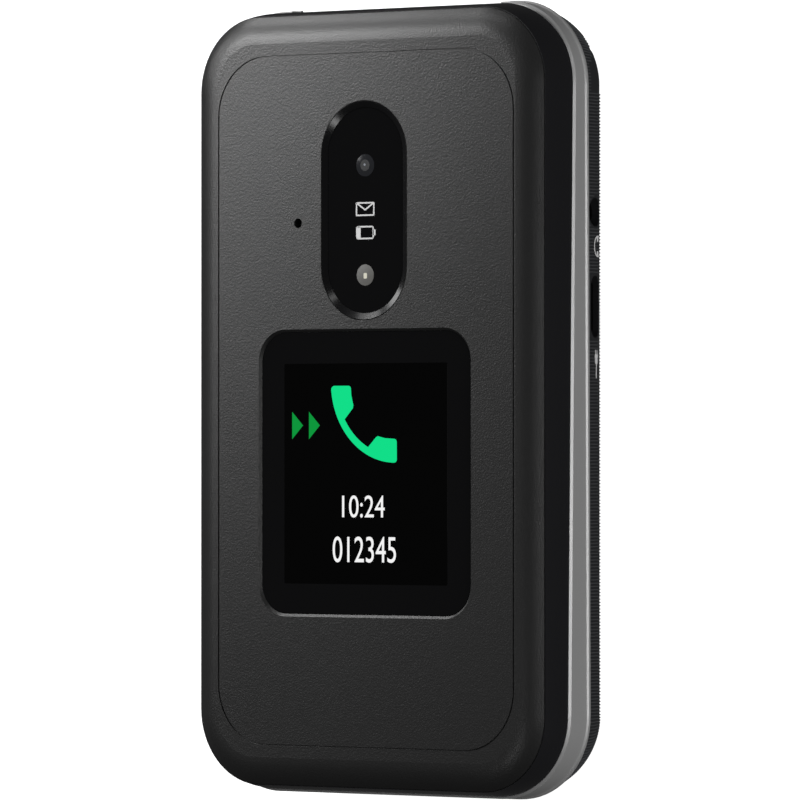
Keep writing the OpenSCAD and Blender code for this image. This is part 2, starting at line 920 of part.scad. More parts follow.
module silver_band() {
    inner = band_step + band_wall;
    color(silver)
        difference() {
            union() {
                intersection() {
                    outline(band_step, band_h - over, seam_h + over);
                    on_band()
                        slab(0, case_t);
                    on_seam()
                        band_front();
                }
                on_band()
                    band_lip();
            }
            on_seam() {
                outline(inner, -deck_under, case_t);
                outline(inner + ledge_w, -case_t, case_t);
                outline(inner, -case_t, -deck_under - ledge_t);
            }
            barrel_sweep();
            for (side = [-1, 1])
                knuckle_round(side, knuckle_r + touch, 0, knuckle_end + touch);
        }
}

// a block that ends at the parting plane, with its front edge chamfered; its corners are
// a touch rounder than the wall's, so that the tilted and the upright edges don't coincide
module band_front() {
    r = wall_r + touch;
    rim_solid(case_w - 2 * band_step, case_l - 2 * band_step, r, -case_t / 2, 0)
        polygon([
            [0, -case_t / 2],
            [r + over, -case_t / 2],
            [r + over, -band_chamfer - over],
            [r - band_chamfer, 0],
            [0, 0]
        ]);
}

// the lip at the rear edge of the band; its flare runs on into the wall of the band
module band_lip() {
    flare = 3 * band_step;
    r = corner_r + touch;
    rim_solid(case_w, case_l, r, 0, lip_h + flare)
        polygon([
            [0, 0],
            [r, 0],
            [r, lip_h],
            [r - flare, lip_h + flare],
            [0, lip_h + flare]
        ]);
}

// ---------- sockets and parts on the board ----------

module headphone_jack() {
    color(black_gloss)
        difference() {
            union() {
                // the body ends under the keypad board, and the round nose starts beside it
                intersection() {
                    translate([side_x - jack_depth - jack_back, jack_y - jack_body / 2,
                            socket_z - jack_r - jack_wall])
                        cube([jack_block, jack_body, case_t]);
                    on_seam()
                        slab(-case_t, -keyboard_low - touch);
                }
                translate([jack_nose_x, jack_y, socket_z])
                    rotate([0, 90, 0])
                        cylinder(r = jack_r + jack_wall, h = jack_face_x - jack_nose_x);
            }
            translate([side_x - jack_depth, jack_y, socket_z])
                rotate([0, 90, 0])
                    cylinder(r = jack_r, h = case_w);
        }
}

module charging_socket() {
    color(steel)
        translate([0, usb_y, 0]) {
            difference() {
                side_stadium(usb_l + 2 * usb_wall, usb_h + 2 * usb_wall,
                    side_x - usb_depth - usb_wall, usb_face_x);
                side_stadium(usb_l, usb_h, side_x - usb_depth, case_w);
            }
            translate([side_x - usb_depth - touch, -usb_tongue / 2, socket_z - tongue_t / 2])
                cube([usb_face_x - side_x + usb_depth - tongue_back, usb_tongue, tongue_t]);
        }
}

module loudspeaker() {
    color(dark_metal)
        translate([speaker_x, speaker_y, 0]) {
            plate(speaker_w, speaker_l, board_r, housing_wall, housing_wall + speaker_h);
            plate(speaker_w - 2 * speaker_rim, speaker_l - 2 * speaker_rim, board_r,
                housing_wall, housing_wall + speaker_h + speaker_pole);
        }
}

module base_microphone() {
    color(steel)
        on_seam()
            translate([0, mic_hole_y, 0])
                plate(base_mic_w, base_mic_l, small_r, -deck_under - base_mic_t, -deck_under);
}

module vibration_motor() {
    color(steel)
        translate([motor_x, motor_y, housing_wall + motor_r])
            rotate([0, 90, 0]) {
                cylinder(r = motor_r, h = motor_l);
                translate([0, 0, motor_l])
                    cylinder(r = motor_pin_r, h = motor_weight_l);
                translate([0, 0, motor_l + motor_weight_gap])
                    intersection() {
                        cylinder(r = motor_r - motor_weight_step, h = motor_weight_l);
                        translate([-motor_r, 0, 0])
                            cube([2 * motor_r, motor_r, motor_weight_l]);
                    }
            }
}

module hinge_bush() {
    color(steel)
        on_hinge()
            translate([0, 0, bush_in])
                difference() {
                    cylinder(r = bush_r, h = knuckle_end - knuckle_cap - bush_in);
                    translate([0, 0, -over])
                        cylinder(r = bush_r - bush_wall, h = knuckle_end);
                }
}

module cam_shaft() {
    color(steel)
        on_hinge() {
            translate([-shaft_key / 2, -shaft_key / 2, -knuckle_end + knuckle_cap])
                cube([shaft_key, shaft_key, knuckle_l - knuckle_cap]);
            translate([0, 0, -knuckle_start])
                cylinder(r = shaft_r, h = shaft_in);
        }
}

module base_screws() {
    color(steel)
        for (p = base_screw_spots)
            translate([p[0], p[1], head_floor]) {
                difference() {
                    translate([0, 0, -head_h])
                        cylinder(r = head_r, h = head_h);
                    translate([0, 0, -head_h - over])
                        cylinder(r = drive_r, h = over + drive_deep, $fn = 6);
                }
                cylinder(r = screw_r, h = screw_top - head_floor - screw_end);
            }
}

// ---------- keys ----------

// a moulded key: chamfered top, straight body through the deck and a flange under it
module key_cap(w, l) {
    r = key_r;
    rim_solid(w, l, r, -flange_low, -key_drop)
        polygon([
            [0, -flange_low],
            [r, -flange_low],
            [r, -key_drop - key_edge],
            [r - key_edge, -key_drop],
            [0, -key_drop]
        ]);
    plate(w + 2 * flange_w, l + 2 * flange_w, r + flange_w, -flange_low, -flange_low + flange_t);
}

module number_key(i) {
    color(black_matt)
        on_seam()
            translate([number_spots[i][0], number_spots[i][1], 0])
                key_cap(key_w, key_l);
}

module function_key(i, tone) {
    color(tone)
        on_seam()
            translate([function_spots[i][0], function_spots[i][1], 0])
                key_cap(function_w, function_l);
}

module nav_ring() {
    color(silver)
        on_seam()
            translate([0, nav_y, 0])
                rotate_extrude($fn = corner_fn)
                    polygon([
                        [ok_r + key_gap, -flange_low],
                        [nav_r + flange_w, -flange_low],
                        [nav_r + flange_w, -flange_low + flange_t],
                        [nav_r, -flange_low + flange_t],
                        [nav_r, -key_drop - key_edge],
                        [nav_r - key_edge, -key_drop],
                        [ok_r + key_gap + key_edge, -key_drop],
                        [ok_r + key_gap, -key_drop - key_edge]
                    ]);
}

module ok_key() {
    color(black_matt)
        on_seam()
            translate([0, nav_y, 0])
                rotate_extrude($fn = corner_fn)
                    polygon([
                        [0, -flange_low],
                        [ok_r, -flange_low],
                        [ok_r, -key_drop - key_edge],
                        [ok_r - key_edge, -key_drop],
                        [0, -key_drop]
                    ]);
}

module volume_rocker() {
    face = -side_x - rocker_proud;
    color(black_gloss)
        translate([0, rocker_y, 0]) {
            side_stadium(rocker_l, rocker_h, face, flange_x);
            side_stadium(rocker_l + 2 * rock_flange_w, rocker_h + 2 * rock_flange_w,
                flange_x - rock_flange_t, flange_x);
            // round rib on which it rocks against the rail
            translate([flange_x, 0, socket_z - rocker_h / 2])
                cylinder(r = rock_r, h = rocker_h);
        }
}

// ---------- lid ----------

module lid_frame() {
    r = corner_r - lid_inset;
    low = seam_h - case_l / 2 * sin(seam_tilt);
    rise = side_top - low;
    bulge = (rise * rise + side_taper * side_taper) / (2 * side_taper);
    color(black_gloss)
        difference() {
            union() {
                difference() {
                    intersection() {
                        rim_solid(case_w - 2 * lid_inset, case_l - 2 * lid_inset, r,
                            low - over, side_top)
                            intersection() {
                                translate([r - bulge, low])
                                    circle(bulge, $fn = 4 * corner_fn);
                                translate([0, low - over])
                                    square([r, rise + over]);
                            }
                        on_seam()
                            slab(seam_gap, case_t);
                    }
                    outline(lid_inset + frame_wall, 0, case_t);
                    outline(cover_inset, lid_under, case_t);
                    on_seam()
                        outline(inner_inset, -over, inner_top);
                }
                for (p = lid_screw_spots)
                    intersection() {
                        translate([p[0], p[1], 0])
                            cylinder(r = boss_r, h = lid_under);
                        on_seam()
                            slab(inner_top, case_t);
                        outline(lid_inset + touch, 0, case_t);
                    }
            }
            for (p = lid_screw_spots)
                on_seam()
                    translate([p[0], p[1], 0])
                        cylinder(r = lid_screw_r + press_gap, h = lid_screw_hole);
            lid_trough();
            on_hinge()
                cylinder(r = barrel_r + touch, h = 2 * barrel_half + touch, center = true,
                    $fn = corner_fn);
        }
}

module lid_cover() {
    r = corner_r - cover_inset - touch;
    crown = (crown_w * crown_w + crown_drop * crown_drop) / (2 * crown_drop);
    inset = cover_inset + touch;
    color(dark_metal)
        difference() {
            rim_solid(case_w - 2 * inset, case_l - 2 * inset, r, lid_under, case_t) {
                union() {
                    translate([0, lid_under])
                        square([r - crown_w, lid_cover_t]);
                    intersection() {
                        translate([r - crown_w, case_t - crown])
                            circle(crown, $fn = corner_fn);
                        translate([r - crown_w, lid_under])
                            square([crown_w, lid_cover_t]);
                    }
                }
            }
            difference() {
                plate(groove_w, groove_l, groove_r, case_t - groove_deep, case_t + over);
                plate(groove_w - 2 * groove_cut, groove_l - 2 * groove_cut,
                    groove_r - groove_cut, 0, case_t + 2 * over);
            }
            translate([0, pill_y, 0]) {
                plate(pill_w + 2 * touch, pill_l + 2 * touch, pill_w / 2 + touch - end_flat,
                    bezel_low, case_t + over);
                plate(pill_w - 2 * pill_slope, pill_l - 2 * pill_slope,
                    pill_w / 2 - pill_slope - end_flat, 0, case_t + over);
            }
            translate([0, outer_y, 0]) {
                flared_plate(outer_w, outer_l, outer_r, window_low, case_t + touch,
                    outer_chamfer);
                plate(outer_w - 2 * window_ledge, outer_l - 2 * window_ledge,
                    outer_r - window_ledge, 0, case_t + over);
            }
            translate([mic_x, mic_y, 0])
                cylinder(r = mic_r, h = case_t + over);
        }
}

module lid_inner_cover() {
    color(black_gloss)
        difference() {
            union() {
                on_seam()
                    outline(inner_inset + touch, inner_low, inner_top);
                intersection() {
                    outline(lid_inset + frame_wall + touch, 0, lid_under);
                    translate([-case_w, hinge_y - saddle_l, 0])
                        cube([2 * case_w, case_l, case_t]);
                    on_seam()
                        slab(inner_low, case_t);
                }
                on_hinge()
                    cylinder(r = barrel_r, h = 2 * barrel_half, center = true, $fn = corner_fn);
            }
            lid_trough();
            // seats of the cartridge and of the bush
            on_hinge() {
                translate([0, 0, -barrel_half - over])
                    linear_extrude(cartridge_l + over)
                        cartridge_2d(cartridge_r + touch);
                translate([0, 0, bush_in - over])
                    cylinder(r = bush_r + run_gap, h = barrel_half);
            }
            on_seam() {
                translate([0, main_y, 0])
                    plate(main_w + 2 * touch, main_l + 2 * touch, board_r, 0, inner_top + over);
                translate([0, earpiece_y, 0])
                    plate(slot_ear_l, slot_ear_w, slot_ear_w / 2 - end_flat, 0, inner_top + over);
                for (p = lid_screw_spots)
                    translate([p[0], p[1], 0]) {
                        cylinder(r = lid_screw_r + screw_slack, h = inner_top + over);
                        cylinder(r = lid_head_r + touch, h = inner_low + lid_head_h + bumper_in);
                    }
            }
        }
}

module cartridge_2d(r) {
    intersection() {
        circle(r, $fn = corner_fn);
        translate([-r, -r])
            square([2 * r - cartridge_flat, 2 * r]);
    }
}

module hinge_cartridge() {
    color(steel)
        on_hinge()
            translate([0, 0, -barrel_half])
                difference() {
                    linear_extrude(cartridge_l - touch)
                        cartridge_2d(cartridge_r);
                    translate([0, 0, -over])
                        cylinder(r = shaft_r + run_gap, h = shaft_in + over);
                }
}

module camera_bezel() {
    low = bezel_low;
    slope_w = pill_w - 2 * pill_slope;
    slope_l = pill_l - 2 * pill_slope;
    color(black_gloss)
        translate([0, pill_y, 0])
            difference() {
                plate(pill_w, pill_l, pill_w / 2 - end_flat, low, case_t);
                plate(slope_w, slope_l, slope_w / 2 - end_flat, window_low, case_t);
                plate(slope_w - 2 * bezel_ledge, slope_l - 2 * bezel_ledge,
                    slope_w / 2 - bezel_ledge - end_flat, 0, case_t);
                rim_solid(slope_w, slope_l, slope_w / 2 - end_flat, window_top, case_t + touch)
                    polygon([
                        [0, window_top],
                        [slope_w / 2 - end_flat, window_top],
                        [slope_w / 2 + pill_slope - bezel_land, case_t],
                        [slope_w / 2 + pill_slope - bezel_land, case_t + touch],
                        [0, case_t + touch]
                    ]);
            }
}

module camera_window() {
    w = pill_w - 2 * pill_slope - 2 * touch;
    l = pill_l - 2 * pill_slope - 2 * touch;
    color(glass_black)
        difference() {
            translate([0, pill_y, 0])
                plate(w, l, w / 2 - end_flat, window_low, window_top);
            translate([0, lens_y, 0])
                cylinder(r = lens_r + press_gap, h = case_t);
            translate([0, flash_y, 0])
                cylinder(r = flash_r + press_gap, h = case_t);
        }
}

// a small round lens with a shallow dome
module round_lens(y, r) {
    ball = (r * r + lens_dome * lens_dome) / (2 * lens_dome);
    translate([0, y, 0])
        rotate_extrude()
            intersection() {
                translate([0, window_top + lens_dome - ball])
                    circle(ball, $fn = corner_fn);
                translate([0, window_low])
                    square([r, window_t + lens_dome]);
            }
}

module camera_lens() {
    color("#2b2d33")
        round_lens(lens_y, lens_r);
}

module flash_lens() {
    color("#c9c7bd")
        round_lens(flash_y, flash_r);
}

module camera_module() {
    seat = seam_h - lens_y * sin(seam_tilt) + inner_top + touch;
    color(dark_metal)
        translate([0, lens_y, 0]) {
            plate(camera_w, camera_w, small_r, seat, lid_under);
            translate([0, 0, seat])
                cylinder(r = camera_r, h = window_low - seat);
        }
}

module outer_display_window() {
    color(glass_black)
        translate([0, outer_y, 0])
            plate(outer_w - 2 * touch, outer_l - 2 * touch, outer_r - touch, window_low, window_top);
}

module outer_display() {
    color("#101114")
        translate([0, outer_y, 0])
            plate(outer_w - 2 * outer_margin, outer_l - 2 * outer_margin, part_r,
                lid_board_z + lid_board_t, window_low);
}

module main_display_window() {
    color(glass_black)
        on_seam()
            translate([0, main_y, 0])
                plate(main_w, main_l, board_r - touch, inner_low + touch, inner_top);
}

module main_display() {
    color("#101114")
        on_seam()
            translate([0, main_y, 0])
                plate(main_w + 2 * window_ledge, main_l + 2 * window_ledge, part_r, inner_top,
                    inner_top + main_t);
}

module lid_board() {
    color(board_green) {
        translate([0, (lid_board_front + lid_board_rear) / 2, 0])
            plate(lid_board_w, lid_board_rear - lid_board_front, board_r, lid_board_z,
                lid_board_z + lid_board_t);
        translate([mic_x, mic_y, 0])
            plate(lid_mic_w, lid_mic_w, small_r, lid_board_z, lid_under);
        translate([0, flash_y, 0])
            plate(flash_w, flash_w, small_r, lid_board_z, window_low);
    }
}

module earpiece() {
    color(dark_metal)
        on_seam()
            translate([0, earpiece_y, 0])
                plate(earpiece_w, earpiece_l, part_r, inner_top, inner_top + earpiece_h);
}

module earpiece_mesh() {
    color(steel)
        on_seam()
            translate([0, earpiece_y, 0])
                plate(slot_ear_l - 2 * touch, slot_ear_w - 2 * touch,
                    slot_ear_w / 2 - touch - end_flat, inner_low + sheet, inner_top);
}

module lid_magnet() {
    color(steel)
        on_seam()
            translate([magnet_x, earpiece_y, 0])
                plate(magnet_w, magnet_l, small_r, inner_top, inner_top + magnet_t);
}

module lid_bumpers() {
    color("#1c1c1e")
        on_seam()
            for (p = lid_screw_spots)
                translate([p[0], p[1], -deck_drop + touch])
                    cylinder(r = lid_head_r, h = deck_drop - touch + inner_low + bumper_in);
}

module lid_screws() {
    color(steel)
        on_seam()
            for (p = lid_screw_spots)
                translate([p[0], p[1], inner_low + bumper_in]) {
                    cylinder(r = lid_head_r, h = lid_head_h);
                    cylinder(r = lid_screw_r, h = lid_screw_l);
                }
}

rear_housing();
battery_cover();
battery();
chassis_plate();
main_board();
shield_can();
sim_holder();
keypad_board();
key_domes();
key_mat();
keypad_deck();
silver_band();
headphone_jack();
charging_socket();
loudspeaker();
base_microphone();
vibration_motor();
hinge_bush();
cam_shaft();
base_screws();
number_key(0);  // key_1
number_key(1);  // key_2
number_key(2);  // key_3
number_key(3);  // key_4
number_key(4);  // key_5
number_key(5);  // key_6
number_key(6);  // key_7
number_key(7);  // key_8
number_key(8);  // key_9
number_key(9);  // key_star
number_key(10);  // key_0
number_key(11);  // key_hash
nav_ring();
ok_key();
function_key(0, black_matt);  // soft_key_left
function_key(1, black_matt);  // soft_key_right
function_key(2, black_matt);  // message_key
function_key(3, black_matt);  // camera_key
function_key(4, "#1f7a3d");  // call_key
function_key(5, "#a3262b");  // end_key
volume_rocker();
lid_frame();
lid_cover();
lid_inner_cover();
camera_bezel();
camera_window();
camera_lens();
flash_lens();
camera_module();
outer_display_window();
outer_display();
main_display_window();
main_display();
lid_board();
earpiece();
earpiece_mesh();
lid_magnet();
lid_bumpers();
lid_screws();
hinge_cartridge();
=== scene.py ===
# %% [markdown]
# # A clamshell phone
# The phone lies closed on its back. The solid parts come from the CAD frame, where +Z points out of
# the outer display, +Y towards the hinge and +X towards the side with the sockets. This file gives
# each part its real finish, and adds what is too fine for the solids: ribs, prints and legends.

import math

import bmesh
import bpy
from mathutils import Matrix, Vector


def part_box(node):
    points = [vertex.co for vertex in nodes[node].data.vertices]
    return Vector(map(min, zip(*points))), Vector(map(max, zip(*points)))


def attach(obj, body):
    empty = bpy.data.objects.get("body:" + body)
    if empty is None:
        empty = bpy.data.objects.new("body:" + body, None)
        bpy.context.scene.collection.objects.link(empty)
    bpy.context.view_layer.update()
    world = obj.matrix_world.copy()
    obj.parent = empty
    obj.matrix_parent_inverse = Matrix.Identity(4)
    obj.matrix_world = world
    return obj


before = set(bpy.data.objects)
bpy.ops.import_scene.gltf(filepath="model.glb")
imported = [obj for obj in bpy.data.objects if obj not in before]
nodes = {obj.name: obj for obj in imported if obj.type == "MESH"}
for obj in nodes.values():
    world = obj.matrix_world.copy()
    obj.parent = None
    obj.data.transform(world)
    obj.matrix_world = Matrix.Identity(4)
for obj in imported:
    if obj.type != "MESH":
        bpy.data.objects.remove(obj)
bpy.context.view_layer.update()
MM = 0.001

# %% [markdown]
# ## Sizes that the scene shares with the solids
# They are named once here, in millimetres.

# %% Shared sizes
CASE_W, CASE_L, CASE_T = 59.0, 104.3, 19.0
CORNER_R = 11.1
HOUSING_INSET = 0.75
BACK_EDGE_R = 9.0
SEAM_H, SEAM_TILT = 12.95, math.radians(0.745)
BAND_H, BAND_TILT = 9.4, math.radians(0.31)
HINGE_Y, HINGE_H = 46.05, 9.2
JACK_Y, USB_Y, ROCKER_Y, SOCKET_H = 24.4, 12.1, 18.0, 6.6
WINDOW_TOP = CASE_T - 0.33

# %% [markdown]
# ## The camera
# A long lens, 323 mm on a 36 mm sensor, stands almost a metre away and looks at the front of the
# phone from 37 degrees to its right. The phone's length is upright in the picture, so the camera is
# rolled to keep +Y up. It aims at the middle of the picture, so no lens shift is needed.

# %% Camera
VIEW_TURN = math.radians(36.97)
right = Vector((math.cos(VIEW_TURN), 0, -math.sin(VIEW_TURN)))
ahead = Vector((-math.sin(VIEW_TURN), 0, -math.cos(VIEW_TURN)))
eye = Vector((0, -6.8, CASE_T)) + right * 4.757 - ahead * 940.6
aim = eye + (ahead + Vector((0, 52 / 7177, 0))) * 940.6

camera_data = bpy.data.cameras.new("camera")
camera_data.lens = 322.965
camera_data.sensor_width = 36
camera_data.clip_start, camera_data.clip_end = 0.05, 20
camera = bpy.data.objects.new("camera", camera_data)
bpy.context.scene.collection.objects.link(camera)
backward = (eye - aim).normalized()
turn = Matrix((right, backward.cross(right), backward)).transposed()
camera.matrix_world = Matrix.Translation(eye * MM) @ turn.to_4x4()
bpy.context.scene.camera = camera
print("camera distance in mm:", round((eye - aim).length, 1))

# %% [markdown]
# ## Colour and node helpers
# Colours are written as the hex values a designer would pick on a screen, and one function turns
# them to the linear values that a renderer needs. One more function adds any node, with its
# settings and its links, so that each material below reads as a short list.


# %% Helpers for materials
def linear(hex_colour, alpha=1.0):
    channels = [int(hex_colour[i : i + 2], 16) / 255 for i in (1, 3, 5)]
    return (*[c / 12.92 if c <= 0.04045 else ((c + 0.055) / 1.055) ** 2.4 for c in channels], alpha)


def add(tree, kind, links=None, **settings):
    """Adds one node. Settings name its inputs or its properties; links name an input and a socket."""
    new = tree.nodes.new(kind)
    for name, value in settings.items():
        if name in new.inputs:
            new.inputs[name].default_value = value
        elif name.replace("_", " ") in new.inputs:
            new.inputs[name.replace("_", " ")].default_value = value
        else:
            setattr(new, name, value)
    for name, socket in (links or {}).items():
        tree.links.new(socket, new.inputs[name])
    return new


def finish(name, colour, **settings):
    """A material with one Principled shader, given by its typical values."""
    material = bpy.data.materials.new(name)
    material.use_nodes = True
    tree = material.node_tree
    shader = tree.nodes["Principled BSDF"]
    shader.inputs["Base Color"].default_value = linear(colour)
    for key, value in settings.items():
        shader.inputs[key.replace("_", " ")].default_value = value
    return material, tree, shader


def grain(tree, shader, spacing_mm, height_mm, strength, detail=2.0):
    """A fine moulded or sprayed texture: noise whose lumps are spacing_mm apart, used as bump."""
    place = add(tree, "ShaderNodeTexCoord")
    noise = add(tree, "ShaderNodeTexNoise", {"Vector": place.outputs["Object"]})
    noise.inputs["Scale"].default_value = 1 / (spacing_mm * MM)
    noise.inputs["Detail"].default_value = detail
    bump = add(tree, "ShaderNodeBump", {"Height": noise.outputs["Fac"]})
    bump.inputs["Distance"].default_value = height_mm * MM
    bump.inputs["Strength"].default_value = strength
    tree.links.new(bump.outputs["Normal"], shader.inputs["Normal"])
    return noise


# %% [markdown]
# ## Finishes
# Each one is named for the real material and for how its surface was made. A phone of this kind is
# mostly moulded ABS and polycarbonate: some left matt from a textured mould, some polished, some
# sprayed with a metallic lacquer.

# %% Lacquer and mouldings
# Sprayed satin lacquer with fine metal flakes over a polycarbonate plate. The flakes give a soft,
# wide sheen, and the spray leaves a grain of about a fifth of a millimetre. The plate is very
# slightly crowned in both directions, which shows in how the sheen fades and not in the outline,
# so the crown is part of the same bump: a height that falls with the square of the distance.
CROWN_ACROSS, CROWN_ALONG = 0.36, 1.2
GRAIN_MM, GRAIN_HEIGHT_MM = 0.22, 0.032
lacquer, tree, shader = finish(
    "satin_metallic_lacquer", "#2d2d2d", Metallic=0.5, Roughness=0.36, IOR=1.5
)
place = add(tree, "ShaderNodeTexCoord")
axes = add(tree, "ShaderNodeSeparateXYZ", {"Vector": place.outputs["Object"]})
noise = add(tree, "ShaderNodeTexNoise", {"Vector": place.outputs["Object"]}, Detail=2.0)
noise.inputs["Scale"].default_value = 1 / (GRAIN_MM * MM)
height = add(tree, "ShaderNodeMath", {0: noise.outputs["Fac"]}, operation="MULTIPLY")
height.inputs[1].default_value = GRAIN_HEIGHT_MM * MM
for axis, radius in (("X", CROWN_ACROSS), ("Y", CROWN_ALONG)):
    place = axes.outputs[axis]
    square = add(tree, "ShaderNodeMath", {0: place, 1: place}, operation="MULTIPLY")
    height = add(
        tree, "ShaderNodeMath", {0: square.outputs[0], 2: height.outputs[0]}, operation="MULTIPLY_ADD"
    )
    height.inputs[1].default_value = -0.5 / radius
bump = add(tree, "ShaderNodeBump", {"Height": height.outputs[0]}, Distance=1.0, Strength=1.0)
tree.links.new(bump.outputs["Normal"], shader.inputs["Normal"])

# ABS from a polished mould: near black, with a clear reflection.
polished_abs, tree, shader = finish("polished_black_abs", "#0c0c0d", Roughness=0.16, IOR=1.53)

# ABS from a spark-eroded mould: matt, with a fine grain.
matt_abs, tree, shader = finish("matt_black_abs", "#202123", Roughness=0.5, IOR=1.53)
grain(tree, shader, 0.15, 0.01, 0.3)

# The ribs are a lighter black than the housing between them: a painted highlight on the rib tips, which are
# the same moulded ABS.
rib_highlight_abs, tree, shader = finish("rib_highlight_black_abs", "#48494b", Roughness=0.45, IOR=1.53)

# ABS with a satin polish, for the lid's side, with a soft reflection. Its base colour is lighter than the
# polished ABS: a painted reflection of the white table, which is kept out of the reflections.
satin_abs_painted_reflection, tree, shader = finish("satin_black_abs_painted_reflection", "#18181a", Roughness=0.22, IOR=1.53)

# Silver lacquer on ABS, as on most silver trims: bright, satin, without a grain.
silver_lacquer, tree, shader = finish("silver_lacquer", "#bbbbbb", Metallic=0.5, Roughness=0.3, IOR=1.5)

# %% Glass, screens and rubber
# Window plates are clear, but printed black on their inner side, so they read as black glass.
window_glass, tree, shader = finish("black_backed_glass", "#0b0b0c", Roughness=0.04, IOR=1.5)
screen_black, tree, shader = finish("display_cell", "#050607", Roughness=0.2, IOR=1.5)
lens_glass, tree, shader = finish("coated_lens", "#232427", Roughness=0.1, IOR=1.52)
flash_plastic, tree, shader = finish("flash_diffuser", "#5c5b58", Roughness=0.35, IOR=1.49)
silicone, tree, shader = finish("grey_silicone", "#3b3c3e", Roughness=0.6, IOR=1.43)
rubber, tree, shader = finish("black_rubber", "#161616", Roughness=0.75, IOR=1.52)

# %% Metals and boards
# Metals keep the default IOR; their colour comes from the base colour.
steel, tree, shader = finish("stainless_steel", "#9a9c9f", Metallic=1.0, Roughness=0.3)
blackened_steel, tree, shader = finish("blackened_steel", "#151617", Metallic=1.0, Roughness=0.5)
aluminium, tree, shader = finish("aluminium_sheet", "#b8babd", Metallic=1.0, Roughness=0.35)
speaker_black, tree, shader = finish("painted_speaker_can", "#18191a", Roughness=0.5, IOR=1.5)
board_green, tree, shader = finish("solder_resist", "#14502f", Roughness=0.35, IOR=1.5)
key_black, tree, shader = finish("satin_black_key", "#131415", Roughness=0.45, IOR=1.5)
key_green, tree, shader = finish("satin_green_key", "#1b7a3c", Roughness=0.45, IOR=1.5)
key_red, tree, shader = finish("satin_red_key", "#a8242a", Roughness=0.45, IOR=1.5)

# %% Inks and lights
ink, tree, shader = finish("white_ink", "#d8d8d8", Roughness=0.5, IOR=1.5)
iris_black, tree, shader = finish("iris_blade", "#191a1c", Roughness=0.3, IOR=1.5)
# A painted highlight for the camera lens: a light grey disc, not a coating.
lens_highlight_paint, tree, shader = finish("painted_lens_highlight", "#8a8f96", Roughness=0.2, IOR=1.5)
diode, tree, shader = finish("diode_phosphor", "#d9d6c4", Roughness=0.4, IOR=1.5)
dark_ink, tree, shader = finish("dark_ink", "#202123", Roughness=0.5, IOR=1.5)
cell_black, tree, shader = finish("switched_off_cell", "#000000", Roughness=0.04, IOR=1.5)


def lit(name, colour, strength):
    """A lit patch of a display: it glows, and its coating keeps the lights' reflection faint."""
    material, tree, shader = finish(name, "#000000", Roughness=0.2, IOR=1.5, Specular_IOR_Level=0.05)
    shader.inputs["Emission Color"].default_value = linear(colour)
    shader.inputs["Emission Strength"].default_value = strength
    return material


lit_green = lit("lit_green", "#10de88", 1.0)
lit_dark_green = lit("lit_dark_green", "#0c963c", 1.0)
lit_white = lit("lit_white", "#f4f4f4", 1.0)
lit_blue = lit("lit_blue", "#16324f", 1.0)
print("finishes made:", len(bpy.data.materials))

# %% [markdown]
# ## Dress the CAD nodes
# Each solid gets the finish of its real material. The number keys, the ring and the rest keep the
# shapes that the solids have.

# %% Finish of each node
FINISH_OF = {
    lacquer: ["lid_cover"],
    # The lid's side carries a painted reflection in its lighter base colour.
    satin_abs_painted_reflection: ["lid_frame"],
    polished_abs: ["camera_bezel", "headphone_jack", "volume_rocker"],
    matt_abs: ["rear_housing", "battery_cover", "lid_inner_cover", "keypad_deck"],
    silver_lacquer: ["silver_band", "nav_ring"],
    window_glass: ["camera_window", "outer_display_window", "main_display_window"],
    screen_black: ["outer_display", "main_display"],
    lens_glass: ["camera_lens"],
    flash_plastic: ["flash_lens"],
    silicone: ["key_mat"],
    rubber: ["lid_bumpers"],
    aluminium: ["battery", "chassis_plate"],
    steel: ["shield_can", "sim_holder", "key_domes", "base_microphone",
            "vibration_motor", "hinge_bush", "cam_shaft", "base_screws", "earpiece_mesh",
            "lid_magnet", "lid_screws", "hinge_cartridge"],
    blackened_steel: ["charging_socket"],
    speaker_black: ["loudspeaker", "camera_module", "earpiece"],
    board_green: ["main_board", "keypad_board", "lid_board"],
    key_green: ["call_key"],
    key_red: ["end_key"],
    key_black: ["key_1", "key_2", "key_3", "key_4", "key_5", "key_6", "key_7", "key_8", "key_9",
                "key_star", "key_0", "key_hash", "ok_key", "soft_key_left", "soft_key_right",
                "message_key", "camera_key"],
}
for material, names in FINISH_OF.items():
    for name in names:
        nodes[name].data.materials.clear()
        nodes[name].data.materials.append(material)
undressed = sorted(set(nodes) - {n for names in FINISH_OF.values() for n in names})
print("nodes without a finish:", undressed)

# %% [markdown]
# ## The ribbed side
# The rear half is moulded with fine ribs across its sides, about 0.43 mm apart, which give grip.
# They could be a bump, but at the edge of the phone they have to show in the outline, so each rib
# is real: a slim bar laid along the curved side. All ribs are one mesh.


# %% Helpers for meshes
def new_object(name, mesh_or_bm, material, smooth=True):
    if isinstance(mesh_or_bm, bmesh.types.BMesh):
        mesh = bpy.data.meshes.new(name)
        mesh_or_bm.to_mesh(mesh)
        mesh_or_bm.free()
    else:
        mesh = mesh_or_bm
    mesh.materials.append(material)
    if smooth:
        mesh.shade_smooth()
    made = bpy.data.objects.new(name, mesh)
    bpy.context.scene.collection.objects.link(made)
    return made


def outline_place(s, inset):
    """The point and outward direction at the distance s round a rounded rectangle, in mm."""
    w, l, r = CASE_W / 2 - inset, CASE_L / 2 - inset, CORNER_R - inset
    arc = math.pi / 2 * r
    for turn, (straight, across) in enumerate([(2 * (l - r), w), (2 * (w - r), l)] * 2):
        side = math.pi / 2 * turn
        out = Vector((math.cos(side), math.sin(side), 0))
        along = Vector((-out.y, out.x, 0))
        if s < straight:
            return out * across + along * (s - straight / 2), out
        s -= straight
        if s < arc:
            a = side + s / r
            corner = out * (across - r) + along * (straight / 2)
            out = Vector((math.cos(a), math.sin(a), 0))
            return corner + out * r, out
        s -= arc
    return outline_place(0, inset)


def outline_length(inset):
    w, l, r = CASE_W / 2 - inset, CASE_L / 2 - inset, CORNER_R - inset
    return 4 * (w - r) + 4 * (l - r) + 2 * math.pi * r


